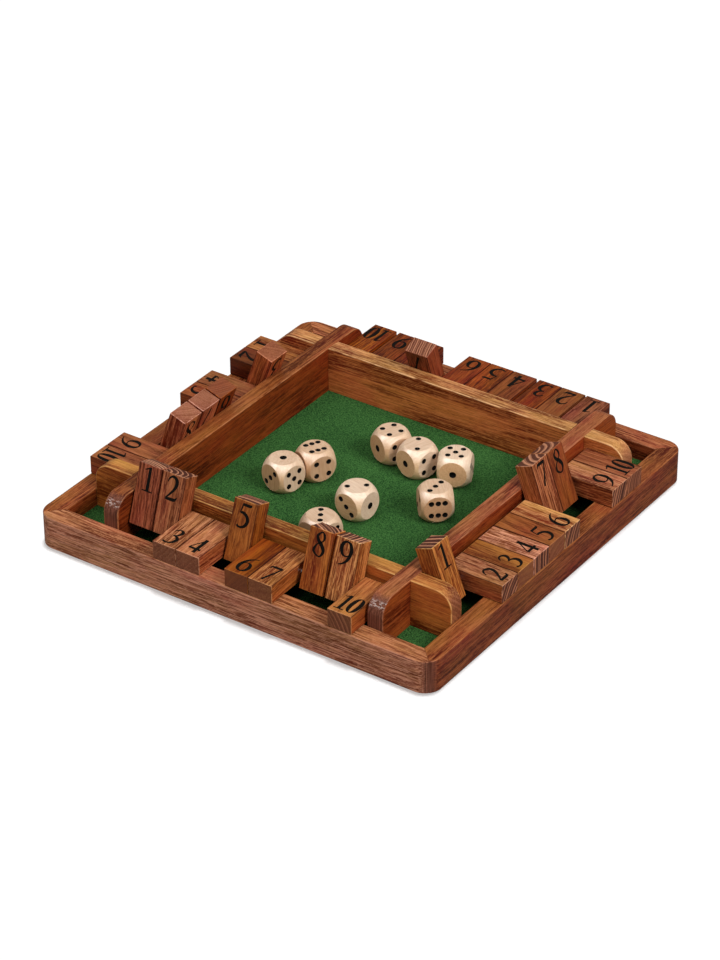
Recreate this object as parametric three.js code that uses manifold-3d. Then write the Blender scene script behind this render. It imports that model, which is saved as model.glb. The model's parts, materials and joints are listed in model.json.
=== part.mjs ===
// A shut the box board for four players, with a row of ten numbered tiles along each side.
// The tiles turn on steel rods between the ends of four walls that cross around a felt-lined tray.
// Millimetres, +Z up. The origin is the middle of the underside, and the first player sits at -Y.
import * as THREE from "three";
import { mergeVertices } from "three/addons/utils/BufferGeometryUtils.js";
import Module from "manifold-3d";

const wasm = await Module();
wasm.setup();

// Outer rim, base panel and felt.
const rimWidth = 14.4;
const rimHeight = 23.5;
const rimCornerRadius = 14;
const rimEase = 1.2;
const panelThickness = 6;
const panelRecess = 3.7;
const grooveDepth = 5;
const feltThickness = 1;

// The walls around the tray, and the channel between them and the rim.
const wallThickness = 11.6;
const wallTop = 44;
const wallEase = 0.8;
const earRadius = 12;
const channelWidth = 30.35;

// The tiles and the rods that they turn on.
const tilesPerSide = 10;
const tileWidth = 18;
const tileThickness = 13;
const tileEase = 0.5;
const tileSetback = 0.3;
const pivotInset = 9;
const swingGap = 0.8;
const rowPlay = 12.3;
const rodRadius = 1.5;
const rodSeatFloor = 3.6;

// The dice: a cube cut with round flat faces from a ball.
const dieSize = 22;
const dieFaceRadius = 9.3;
const pipSpacing = 4.45;
const pipRadius = 1.65;
const onePipRadius = 2.15;
const pipDepth = 0.8;

// Clearances, and how far a cut runs past the surface that it opens.
const glueGap = 0.1;
const seatGap = 0.3;
const runningGap = 0.3;
const overrun = 1;

// Facets of the round forms.
const rodSides = 16;
const cornerSteps = 6;
const earSteps = 6;
const ballDetail = 3;
const pipSides = 8;

// Places that follow from the sizes above.
const quarterTurn = Math.PI / 2;
const trayHalf = (tilesPerSide * tileWidth + rowPlay) / 2;
const wallOuter = trayHalf + wallThickness;
const rimInner = wallOuter + channelWidth;
const boardHalf = rimInner + rimWidth;
const panelTop = panelRecess + panelThickness;
const feltTop = panelTop + feltThickness;
const wallFoot = feltTop + glueGap;
const lapHeight = (wallFoot + wallTop) / 2;
const rodLine = wallOuter + Math.hypot(pivotInset, tileThickness / 2) + swingGap;
const rodHeight = rimHeight + seatGap + tileThickness / 2;
const rodSeatDepth = wallThickness - rodSeatFloor;
const tileReach = boardHalf - tileSetback - rodLine;
const lean = leanAngle();

// The seats around the board, each a quarter turn on from the last.
// Gap shares say how a row's play is spread before, between and after its tiles, from 1 to 10.
const seats = [
  {
    name: "south",
    lapped: "top",
    gapShares: [11.5, 9, 5.5, 3, 13, 3, 3, 35.5, 16, 4.5, 19],
    raised: [1, 2, 5, 8, 9],
    tones: ["dark", "dark", "rose", "tan", "brown", "golden", "tan", "orange", "rose", "golden"],
    wallTone: "orange",
  },
  {
    name: "east",
    lapped: "foot",
    gapShares: [11.5, 46, 3, 3, 6, 6, 3, 3, 34, 3, 4.5],
    raised: [1, 7, 8],
    tones: ["golden", "rose", "golden", "rose", "brown", "golden", "red", "orange", "tan", "red"],
    wallTone: "red",
  },
  {
    name: "north",
    lapped: "top",
    gapShares: [18.5, 11, 3, 21, 3, 3, 21, 8, 3, 24, 7.5],
    raised: [7],
    tones: ["red", "tan", "orange", "rose", "brown", "brown", "dark", "red", "red", "orange"],
    wallTone: "tan",
  },
  {
    name: "west",
    lapped: "foot",
    gapShares: [12, 3, 13, 9, 3, 20, 13, 16, 21, 4, 9],
    raised: [3, 6, 7, 8],
    tones: ["brown", "red", "dark", "brown", "orange", "red", "rose", "dark", "red", "red"],
    wallTone: "brown",
  },
];

// The dice as they lie after a throw: the number on top and the one in front, the place on the felt
// in shares of the die's size, and the turn in degrees.
const dice = [
  { up: 1, front: 3, placeShares: [-2.28, -0.96], turn: -15.3 },
  { up: 6, front: 2, placeShares: [-1.85, 0.06], turn: -27.9 },
  { up: 4, front: 1, placeShares: [-0.5, 2.16], turn: -24.6 },
  { up: 2, front: 1, placeShares: [0.6, 1.93], turn: -14.8 },
  { up: 5, front: 1, placeShares: [1.79, 2.17], turn: 23.4 },
  { up: 2, front: 3, placeShares: [0.41, -1.01], turn: -5 },
  { up: 3, front: 2, placeShares: [0.43, -2.9], turn: -12.4 },
  { up: 3, front: 2, placeShares: [2.34, 0.25], turn: -46.9 },
];

const woodTones = {
  dark: 0x6a2c1e,
  red: 0x7e3a22,
  brown: 0x84441f,
  orange: 0xa2592a,
  golden: 0xb0702c,
  tan: 0xb98a58,
  rose: 0xa0604a,
  pale: 0xdcc09c,
};

// The angle from lying to leaning: the tile's broad face rests on the eased outer edge of the wall.
function leanAngle() {
  const out = wallOuter - rodLine;
  const up = wallTop - wallEase - rodHeight;
  const halfTile = tileThickness / 2 + seatGap;
  return Math.atan2(up, out) - Math.asin(halfTile / Math.hypot(out, up));
}

// A closed geometry as a solid that can be cut and joined.
function solid(geometry) {
  const bare = geometry.clone();
  bare.deleteAttribute("normal");
  bare.deleteAttribute("uv");
  const merged = mergeVertices(bare);
  const mesh = new wasm.Mesh({
    numProp: 3,
    vertProperties: merged.attributes.position.array,
    triVerts: new Uint32Array(merged.index.array),
  });
  return new wasm.Manifold(mesh);
}

// A solid back as a geometry for a mesh.
function geometryOf(shape) {
  const { vertProperties, triVerts } = shape.getMesh();
  const geometry = new THREE.BufferGeometry();
  geometry.setAttribute("position", new THREE.BufferAttribute(vertProperties, 3));
  geometry.setIndex(new THREE.BufferAttribute(triVerts, 1));
  geometry.computeVertexNormals();
  return geometry;
}

function named(name, shape, color, roughness, metalness = 0) {
  const geometry = shape.isBufferGeometry ? shape : geometryOf(shape);
  const material = new THREE.MeshStandardMaterial({ color, roughness, metalness, flatShading: true });
  const mesh = new THREE.Mesh(geometry, material);
  mesh.name = name;
  return mesh;
}

const woodPiece = (name, shape, tone) => named(name, shape, woodTones[tone], 0.45);

// A box from its lowest to its highest corner.
function box(low, high) {
  const size = high.map((v, axis) => v - low[axis]);
  const middle = high.map((v, axis) => (v + low[axis]) / 2);
  return new THREE.BoxGeometry(...size).translate(...middle);
}

// A round bar along X. A bore with the same sides clears a bar by its gap at the flats.
const barAlongX = (radius, length) =>
  new THREE.CylinderGeometry(radius, radius, length, rodSides).rotateZ(quarterTurn);
const boreRadius = (gap) => (rodRadius + gap) / Math.cos(Math.PI / rodSides);

// A square outline with round corners.
function roundedSquare(half, radius) {
  const shape = new THREE.Shape();
  const flat = half - radius;
  for (let corner = 0; corner < 4; corner++) {
    const start = corner * quarterTurn;
    const x = flat * Math.sign(Math.cos(start + quarterTurn / 2));
    const y = flat * Math.sign(Math.sin(start + quarterTurn / 2));
    shape.absarc(x, y, radius, start, start + quarterTurn, false);
  }
  return shape;
}

function squareHole(half) {
  const hole = new THREE.Path();
  hole.moveTo(-half, -half);
  hole.lineTo(-half, half);
  hole.lineTo(half, half);
  hole.lineTo(half, -half);
  hole.closePath();
  return hole;
}

// An outline drawn up to a height, with its edges eased and its sides at the outline.
function easedExtrusion(shape, height, ease, curveSegments) {
  return new THREE.ExtrudeGeometry(shape, {
    depth: height - 2 * ease,
    curveSegments,
    bevelThickness: ease,
    bevelSize: ease,
    bevelOffset: -ease,
    bevelSegments: 1,
  }).translate(0, 0, ease);
}

// The rim is four mitred rails glued into one frame, with a groove inside that holds the panel.
function outerRim() {
  const outline = roundedSquare(boardHalf, rimCornerRadius);
  outline.holes.push(squareHole(rimInner));
  const frame = solid(easedExtrusion(outline, rimHeight, rimEase, cornerSteps));
  const reach = rimInner + grooveDepth;
  const low = [-reach, -reach, panelRecess - glueGap];
  const high = [reach, reach, panelTop + glueGap];
  return frame.subtract(solid(box(low, high)));
}

function basePanel() {
  const half = rimInner + grooveDepth - glueGap;
  return box([-half, -half, panelRecess], [half, half, panelTop]);
}

function feltLining() {
  const half = rimInner - glueGap;
  return box([-half, -half, panelTop + glueGap], [half, half, feltTop]);
}

// The long side of a wall: it runs from rim to rim, and the top corners of its ears are round.
function wallOutline() {
  const end = rimInner - glueGap;
  const radius = Math.min(earRadius, channelWidth, wallTop - wallFoot);
  const shape = new THREE.Shape();
  shape.moveTo(-end, wallFoot);
  shape.lineTo(end, wallFoot);
  shape.absarc(end - radius, wallTop - radius, radius, 0, quarterTurn, false);
  shape.absarc(radius - end, wallTop - radius, radius, quarterTurn, 2 * quarterTurn, false);
  shape.closePath();
  return shape;
}

// A wall as the south one lies. Two walls are notched from the top where they cross, and two from
// the foot. The ears have blind bores that seat the ends of the rods beside them.
function wall(lapped) {
  const blank = easedExtrusion(wallOutline(), wallThickness, wallEase, earSteps);
  blank.rotateX(quarterTurn).translate(0, -trayHalf, 0);
  const [low, high] =
    lapped === "top"
      ? [lapHeight - glueGap / 2, wallTop + overrun]
      : [wallFoot - overrun, lapHeight + glueGap / 2];
  let shape = solid(blank);
  for (const end of [-1, 1]) {
    const across = [end * (trayHalf - glueGap), end * (wallOuter + glueGap)].sort((a, b) => a - b);
    const notch = box(
      [across[0], -wallOuter - overrun, low],
      [across[1], overrun - trayHalf, high],
    );
    const bore = barAlongX(boreRadius(glueGap), rodSeatDepth + overrun)
      .rotateZ(quarterTurn)
      .translate(end * rodLine, (overrun - rodSeatDepth) / 2 - trayHalf, rodHeight);
    shape = shape.subtract(solid(notch)).subtract(solid(bore));
  }
  return shape;
}

function rod() {
  const length = 2 * (trayHalf + rodSeatDepth - seatGap);
  return barAlongX(rodRadius, length).translate(0, -rodLine, rodHeight);
}

// A tile that lies flat, with its pivot at the origin and its free end towards -Y.
function tile() {
  const x = tileWidth / 2;
  const z = tileThickness / 2;
  const section = new THREE.Shape();
  section.moveTo(tileEase - x, -z);
  section.lineTo(x - tileEase, -z);
  section.lineTo(x, tileEase - z);
  section.lineTo(x, z - tileEase);
  section.lineTo(x - tileEase, z);
  section.lineTo(tileEase - x, z);
  section.lineTo(-x, z - tileEase);
  section.lineTo(-x, tileEase - z);
  section.closePath();
  const blank = easedExtrusion(section, pivotInset + tileReach, tileEase, 1);
  blank.rotateX(quarterTurn).translate(0, pivotInset, 0);
  const bore = barAlongX(boreRadius(runningGap), tileWidth + 2 * overrun);
  return solid(blank).subtract(solid(bore));
}

// Where the middle of each tile in a row lies along its rod.
function tilePlaces(gapShares) {
  const whole = gapShares.reduce((sum, share) => sum + share);
  let edge = -trayHalf;
  return Array.from({ length: tilesPerSide }, (_, i) => {
    const gap = (rowPlay * gapShares[i % gapShares.length]) / whole;
    const middle = edge + gap + tileWidth / 2;
    edge += gap + tileWidth;
    return middle;
  });
}

// One player's side: the wall, the rod and the row of tiles.
function side(seat, index) {
  const group = new THREE.Group();
  group.rotation.z = index * quarterTurn;
  group.add(woodPiece("wall_" + seat.name, wall(seat.lapped), seat.wallTone));
  group.add(named("rod_" + seat.name, rod(), 0xb9bcc0, 0.3, 1));
  const blank = tile();
  tilePlaces(seat.gapShares).forEach((place, i) => {
    const number = i + 1;
    const tone = seat.tones[i % seat.tones.length];
    const mesh = woodPiece("tile_" + seat.name + "_" + number, blank, tone);
    mesh.position.set(place, -rodLine, rodHeight);
    if (seat.raised.includes(number)) mesh.rotation.x = -lean;
    group.add(mesh);
  });
  return group;
}

// The faces of a die: the way each faces, the two ways across it, and its pips in steps of the
// spacing. Opposite faces add up to seven.
const along = (x, y, z) => new THREE.Vector3(x, y, z);
const corners = [
  [-1, -1],
  [1, -1],
  [-1, 1],
  [1, 1],
];
const faces = {
  1: { out: along(1, 0, 0), across: [along(0, 1, 0), along(0, 0, 1)], pips: [[0, 0]] },
  2: { out: along(0, 0, 1), across: [along(1, 0, 0), along(0, 1, 0)], pips: [corners[0], corners[3]] },
  3: { out: along(0, -1, 0), across: [along(1, 0, 0), along(0, 0, 1)], pips: [corners[2], [0, 0], corners[1]] },
  4: { out: along(0, 1, 0), across: [along(1, 0, 0), along(0, 0, 1)], pips: corners },
  5: { out: along(0, 0, -1), across: [along(1, 0, 0), along(0, 1, 0)], pips: [...corners, [0, 0]] },
  6: { out: along(-1, 0, 0), across: [along(0, 1, 0), along(0, 0, 1)], pips: [...corners, [-1, 0], [1, 0]] },
};

// The dimple that a drill point leaves in a face.
function pip(face, [i, j], radius) {
  const height = pipDepth + overrun;
  const spread = (radius * height) / pipDepth;
  const place = face.out.clone().multiplyScalar(dieSize / 2 + overrun - height / 2);
  place.addScaledVector(face.across[0], i * pipSpacing);
  place.addScaledVector(face.across[1], j * pipSpacing);
  const turn = new THREE.Quaternion().setFromUnitVectors(along(0, -1, 0), face.out);
  return new THREE.ConeGeometry(spread, height, pipSides).applyQuaternion(turn).translate(...place);
}

function die() {
  const half = dieSize / 2;
  const ball = new THREE.IcosahedronGeometry(Math.hypot(half, dieFaceRadius), ballDetail);
  let shape = solid(ball).intersect(solid(box([-half, -half, -half], [half, half, half])));
  for (const [number, face] of Object.entries(faces)) {
    const radius = number === "1" ? onePipRadius : pipRadius;
    for (const step of face.pips) shape = shape.subtract(solid(pip(face, step, radius)));
  }
  return shape;
}

// Turns a die so that one number is on top and another in front, then by its own turn.
function dieTurn({ up, front, turn }) {
  const upward = faces[up].out.clone();
  const back = faces[front].out.clone().negate();
  const right = back.clone().cross(upward);
  const upright = new THREE.Matrix4().makeBasis(right, back, upward).transpose();
  const spin = new THREE.Matrix4().makeRotationZ(THREE.MathUtils.degToRad(turn));
  return new THREE.Quaternion().setFromRotationMatrix(spin.multiply(upright));
}

const board = new THREE.Group();
board.add(woodPiece("outer_rim", outerRim(), "orange"));
board.add(woodPiece("base_panel", basePanel(), "brown"));
board.add(named("felt_lining", feltLining(), 0x2c5f2c, 0.95));
seats.forEach((seat, index) => board.add(side(seat, index)));

const dieShape = die();
dice.forEach((throwOf, i) => {
  const mesh = woodPiece("die_" + (i + 1), dieShape, "pale");
  const [x, y] = throwOf.placeShares;
  mesh.position.set(x * dieSize, y * dieSize, feltTop + seatGap + dieSize / 2);
  mesh.quaternion.copy(dieTurn(throwOf));
  board.add(mesh);
});

export default board;
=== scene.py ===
"""The looks of a shut the box board for four players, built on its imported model.

Sizes are in millimetres, in the model's own frame, until a mesh is made. A rail, wall or tile is
drawn as the first player's side has it, with its length or its numbers along +X, and then turned.
"""
import json
import math

import bmesh
import bpy
import numpy as np
from mathutils import Matrix, Vector, geometry

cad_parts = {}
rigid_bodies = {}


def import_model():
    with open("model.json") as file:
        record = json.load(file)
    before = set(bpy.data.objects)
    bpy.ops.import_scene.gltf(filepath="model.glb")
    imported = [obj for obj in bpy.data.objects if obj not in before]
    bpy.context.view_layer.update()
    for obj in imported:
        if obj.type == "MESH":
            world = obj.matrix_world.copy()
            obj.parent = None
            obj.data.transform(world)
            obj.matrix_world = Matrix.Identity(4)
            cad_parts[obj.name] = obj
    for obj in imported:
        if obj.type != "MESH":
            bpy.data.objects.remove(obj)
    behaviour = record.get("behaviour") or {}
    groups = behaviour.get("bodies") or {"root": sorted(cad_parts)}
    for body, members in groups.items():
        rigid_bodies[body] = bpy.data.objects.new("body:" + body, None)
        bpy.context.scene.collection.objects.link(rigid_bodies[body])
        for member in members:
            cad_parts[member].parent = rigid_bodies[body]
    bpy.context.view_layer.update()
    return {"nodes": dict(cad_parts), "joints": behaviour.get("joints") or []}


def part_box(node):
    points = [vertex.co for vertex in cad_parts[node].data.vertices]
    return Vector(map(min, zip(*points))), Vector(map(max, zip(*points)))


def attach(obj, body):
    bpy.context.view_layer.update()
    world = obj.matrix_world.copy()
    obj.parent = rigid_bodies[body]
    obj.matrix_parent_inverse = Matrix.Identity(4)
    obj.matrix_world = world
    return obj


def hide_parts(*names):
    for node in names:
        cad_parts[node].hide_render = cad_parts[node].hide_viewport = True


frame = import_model()

MM = 0.001
QUARTER = math.pi / 2
UP = Vector((0, 0, 1))
SIDES = ("south", "east", "north", "west")

# Sizes of the board.
RIM_HEIGHT = 23.5
RIM_CORNER = 12
RIM_EASE = 0.8
RIM_FOOT_EASE = 0.5
BOARD_HALF = 152.5
RIM_INNER = 138.1
SEAM = 0.09
GLUE_INSET = 0.35
GLUE_LAP = 0.01
GROOVE_LOW = 3.6
GROOVE_HIGH = 9.8
GROOVE_DEPTH = 5
FELT_FOOT = 9.8
FELT_TOP = 10.7
FELT_NAP = 0.14
FELT_COLUMNS = 93
TRAY_HALF = 96.15
WALL_OUTER = 107.75
WALL_FOOT = 10.8
WALL_TOP = 44
WALL_EASE = 0.7
EAR_RADIUS = 12
LAP_HEIGHT = 27.4
ROD_HEIGHT = 30.3
ROD_RADIUS = 1.5
ROD_SEAT = 8
ROD_END_GAP = 0.3
ROD_EASE = 0.25
CUT_GAP = 0.1
PAST = 2  # How far a cutter runs on past what it cuts.

# Sizes of a tile, whose pivot is its origin and whose free end is towards +X.
TILE_INNER = -9
TILE_HALF_WIDTH = 9
TILE_HALF_HEIGHT = 6.5
TILE_EASE = 0.45
BORE_RADIUS = 1.8
BOARD_REACH = 152.2

# Sizes of a die.
DIE_HALF = 11
FLAT_RADIUS = 9.3
FLAT_EASE = 0.35
PIP_STEP = 4.45
PIP_RADIUS = 1.85
ONE_PIP_RADIUS = 2.35
PIP_DEPTH = 0.8
PIP_SEGMENTS = 24
PIP_RINGS = (1.0, 0.8, 0.5)
DIE_SEGMENTS = 64
EDGE_ROUNDS = (0.45, 0.85)
EDGE_DROP = 0.16
EDGE_REACH = 0.12
BALL_ROUNDS = (0.06, 0.3, 0.55, 0.8, 1.0)
WELD = 0.004
NEAR = 0.01  # Two places this close are the same.


def srgb(code):
    """A colour written as six hexadecimal digits, in linear light."""
    parts = [int(code[i : i + 2], 16) / 255 for i in (0, 2, 4)]
    return [c / 12.92 if c <= 0.04045 else ((c + 0.055) / 1.055) ** 2.4 for c in parts] + [1]


# Meshes.


def new_object(name, data):
    piece = bpy.data.objects.new(name, data)
    bpy.context.scene.collection.objects.link(piece)
    return piece


def mesh_from(bm, name):
    mesh = bpy.data.meshes.new(name)
    bm.normal_update()
    bm.to_mesh(mesh)
    bm.free()
    return mesh


def applied(piece, kind, **settings):
    """The piece with one modifier applied to its mesh."""
    modifier = piece.modifiers.new("step", kind)
    for key, value in settings.items():
        setattr(modifier, key, value)
    bpy.context.view_layer.update()
    seen = piece.evaluated_get(bpy.context.evaluated_depsgraph_get())
    mesh = bpy.data.meshes.new_from_object(seen)
    piece.modifiers.clear()
    piece.data = mesh
    return piece


def cut(piece, cutter_mesh):
    cutter = new_object("cutter", cutter_mesh)
    applied(piece, "BOOLEAN", operation="DIFFERENCE", object=cutter, solver="EXACT")
    bpy.data.objects.remove(cutter)
    return piece


def smoothed(piece, angle=32):
    """Smooth shading that keeps the flats flat and the sharp edges sharp."""
    piece.data.shade_smooth()
    piece.data.set_sharp_from_angle(angle=math.radians(angle))
    return applied(piece, "WEIGHTED_NORMAL", keep_sharp=True)


def prism(bm, outline, low, high, axis="Z"):
    """A closed prism over an outline, from low to high along Z, or along -Y from an XZ outline."""
    def point(u, v, w):
        return (u, v, w) if axis == "Z" else (u, w, v)
    ring = [bm.verts.new(point(u, v, low)) for u, v in outline]
    top = [bm.verts.new(point(u, v, high)) for u, v in outline]
    count = len(outline)
    faces = [bm.faces.new(ring), bm.faces.new(top)]
    for i in range(count):
        j = (i + 1) % count
        faces.append(bm.faces.new((ring[i], ring[j], top[j], top[i])))
    bmesh.ops.recalc_face_normals(bm, faces=faces)


def arc(x, y, radius, start, end, steps):
    turns = np.linspace(start, end, steps + 1)
    return [(x + radius * math.cos(t), y + radius * math.sin(t)) for t in turns]


def circle(x, y, radius, steps):
    return arc(x, y, radius, 0, 4 * QUARTER, steps)[:-1]


def box_prism(bm, low, high):
    outline = [(low[0], low[1]), (high[0], low[1]), (high[0], high[1]), (low[0], high[1])]
    prism(bm, outline, low[2], high[2])


def rod_prism(bm, centre, radius, length, axis, sides):
    """A round bar through a centre, along X or Y."""
    turn = Matrix.Rotation(QUARTER, 4, "Y" if axis == "X" else "X")
    place = Matrix.Translation(centre) @ turn
    bmesh.ops.create_cone(
        bm, cap_ends=True, segments=sides, radius1=radius, radius2=radius, depth=length, matrix=place
    )


def bevel(bm, edges, width, steps):
    bmesh.ops.bevel(
        bm, geom=edges, offset=width, segments=steps, profile=0.5, affect="EDGES", clamp_overlap=True
    )


# Grain. Each wooden piece keeps where its wood lay in its log: millimetres along the log, and
# across it from the pith. It also keeps how far a face is end grain, and where its edges are eased.


def set_grain(mesh, heart, lean, over=None, edges=1.0):
    """heart is where the piece lay across the log, and lean the drift of the pith along it.

    over is the axis whose faces the eased edges bound, where not all do. edges tells how much of the pale
    edge lines, partly rubbed and partly painted highlight, the long edges have, and is below 0 where they
    get painted seam shade instead.
    """
    count = len(mesh.vertices)
    co = np.zeros(count * 3)
    mesh.vertices.foreach_get("co", co)
    log = co.reshape(-1, 3)
    log[:, 1] += heart[0] + lean[0] * log[:, 0]
    log[:, 2] += heart[1] + lean[1] * log[:, 0]
    mesh.attributes.new("grain", "FLOAT_VECTOR", "POINT").data.foreach_set("vector", log.ravel())
    normals = np.zeros(len(mesh.polygons) * 3)
    mesh.polygons.foreach_get("normal", normals)
    normals = np.abs(normals.reshape(-1, 3))
    share = normals.max(axis=1) if over is None else normals[:, over]
    eased = np.clip((0.985 - share) * 30, 0, 1) * np.clip((share - 0.1) * 30, 0, 1)
    eased *= np.where(normals[:, 0] > 0.25, 1, edges)
    mesh.attributes.new("end", "FLOAT", "FACE").data.foreach_set("value", normals[:, 0] ** 2)
    mesh.attributes.new("ease", "FLOAT", "FACE").data.foreach_set("value", eased)


def settle(piece, place, body, node, materials):
    """Moves a finished piece from its own frame in mm to its place on the board, for its node."""
    piece.data.transform(Matrix.Scale(MM, 4) @ place)
    for material in materials:
        piece.data.materials.append(material)
    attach(piece, body)
    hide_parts(node)


# Shader nodes.


class Net:
    """Short calls that add nodes to a tree and join them."""

    def __init__(self, tree):
        self.tree = tree

    def put(self, kind, links=None, **settings):
        node = self.tree.nodes.new("ShaderNode" + kind)
        for key, value in settings.items():
            setattr(node, key, value)
        for key, value in (links or {}).items():
            self.join(node.inputs[key], value)
        return node

    def join(self, socket, value):
        if isinstance(value, bpy.types.NodeSocket):
            self.tree.links.new(value, socket)
        elif value is not None:
            socket.default_value = value

    def math(self, operation, a, b=None, c=None, clamp=False):
        node = self.put("Math", {0: a, 1: b, 2: c}, operation=operation, use_clamp=clamp)
        return node.outputs[0]

    def times(self, a, b, clamp=False):
        return self.math("MULTIPLY", a, b, clamp=clamp)

    def plus(self, a, b, clamp=False):
        return self.math("ADD", a, b, clamp=clamp)

    def fused(self, a, b, c, clamp=False):
        """a times b, plus c."""
        return self.math("MULTIPLY_ADD", a, b, c, clamp)

    def off(self, value, middle):
        """How far a value is from the middle."""
        return self.math("ABSOLUTE", self.math("SUBTRACT", value, middle))

    def vector(self, operation, a, b=None):
        node = self.put("VectorMath", {0: a, 1: b}, operation=operation)
        return node.outputs["Value" if operation == "LENGTH" else "Vector"]

    def scaled(self, vector, sizes):
        return self.vector("MULTIPLY", vector, sizes)

    def place(self, fineness):
        """Where a point is on its piece, in metres, times the fineness."""
        return self.scaled(self.put("TexCoord").outputs["Object"], (fineness, fineness, fineness))

    def facing(self):
        return self.split(self.put("NewGeometry").outputs["Normal"])

    def split(self, vector):
        return self.put("SeparateXYZ", {0: vector}).outputs

    def merge(self, x, y, z):
        return self.put("CombineXYZ", {0: x, 1: y, 2: z}).outputs[0]

    def map(self, value, low, high, to_low=0.0, to_high=1.0):
        links = {"Value": value, "From Min": low, "From Max": high, "To Min": to_low, "To Max": to_high}
        return self.put("MapRange", links, clamp=True).outputs[0]

    def mix(self, share, a, b, blend="MIX"):
        node = self.put("Mix", {0: share, 6: a, 7: b}, data_type="RGBA", blend_type=blend)
        return node.outputs[2]

    def tinted(self, colour, tint):
        return self.mix(1.0, colour, tint, "MULTIPLY")

    def noise(self, vector, seed, detail, rough=0.5):
        links = {"Vector": vector, "W": seed, "Scale": 1.0, "Detail": detail, "Roughness": rough}
        return self.put("TexNoise", links, noise_dimensions="4D").outputs["Fac"]

    def attribute(self, name, output="Fac"):
        return self.put("Attribute", attribute_name=name).outputs[output]

    def dress(self, shader, sockets, height=None, strength=0.0, depth=0.0):
        """Joins a shader's sockets, or sets those that are the same all over, and adds a bump."""
        for name, value in sockets.items():
            self.join(shader.inputs[name], value)
        if height is not None:
            links = {"Height": height, "Strength": strength, "Distance": depth}
            self.join(shader.inputs["Normal"], self.put("Bump", links).outputs[0])


WOOD_SOCKETS = (
    ("INPUT", "Vector", ("Grain",)),
    ("INPUT", "Color", ("Light", "Dark", "Deep")),
    ("INPUT", "Float", ("End", "Ease", "Pitch", "Bands", "Streaks", "Figure", "Flecks", "Lines")),
    ("INPUT", "Float", ("Marks", "Depth", "Wear", "Seed")),
    ("OUTPUT", "Color", ("Color",)),
    ("OUTPUT", "Float", ("Roughness", "Height")),
)

# The noises in the wood: how fine each is along and across the grain, the shift of its seed, its
# detail and its roughness.
WOOD_NOISES = {
    "broad": (0.012, 0.05, 0.0, 2, 0.5),
    "warp": (0.005, 0.02, 0.0, 1, 0.5),
    "wobble": (0.02, 0.22, 0.0, 2, 0.5),
    "streak": (0.007, 0.6, 0.0, 3, 0.6),
    "fibre": (0.07, 1.35, 0.0, 1, 0.6),
    "dash": (0.30, 1.5, 3.0, 1, 0.6),
    "hair": (0.04, 1.6, 7.0, 1, 0.6),
    "blotch": (0.025, 0.07, 0.0, 3, 0.5),
    "chafe": (0.09, 0.3, 0.0, 2, 0.5),
}
WARP_SIZE = 14.0
WOBBLE_SIZE = 1.4
MEAN_DARK = 0.44

# Colours in linear light. A tint is multiplied with the wood's own colour.
PORE_TINT = (0.65, 0.60, 0.55, 1)
GLEAM_TINT = (1.5, 1.8, 2.2, 1)
END_TINT = (0.7, 0.75, 0.9, 1)
END_BROWN = (0.275, 0.080, 0.033, 1)
RING_DARK = (0.080, 0.022, 0.012, 1)
RING_PALE = (0.54, 0.195, 0.095, 1)
# The pale ring lines where an end face turns up, with painted light.
RING_PALE_LIT = (0.74, 0.33, 0.18, 1)
SANDED_DARK = (0.050, 0.013, 0.006, 1)
SANDED_PALE = (0.27, 0.092, 0.056, 1)
# The colour of the painted highlight on an ear's round top.
GLINT_PAINT = (0.75, 0.60, 0.54, 1)
# The tint of the pale edge lines, partly rubbed wood and partly painted highlight.
RUBBED_HIGHLIGHT_TINT = (1.4, 1.8, 2.6, 1)
# The tint of the painted shade in the seams between tiles.
SEAM_SHADE_TINT = (0.6, 0.6, 0.6, 1)


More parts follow.
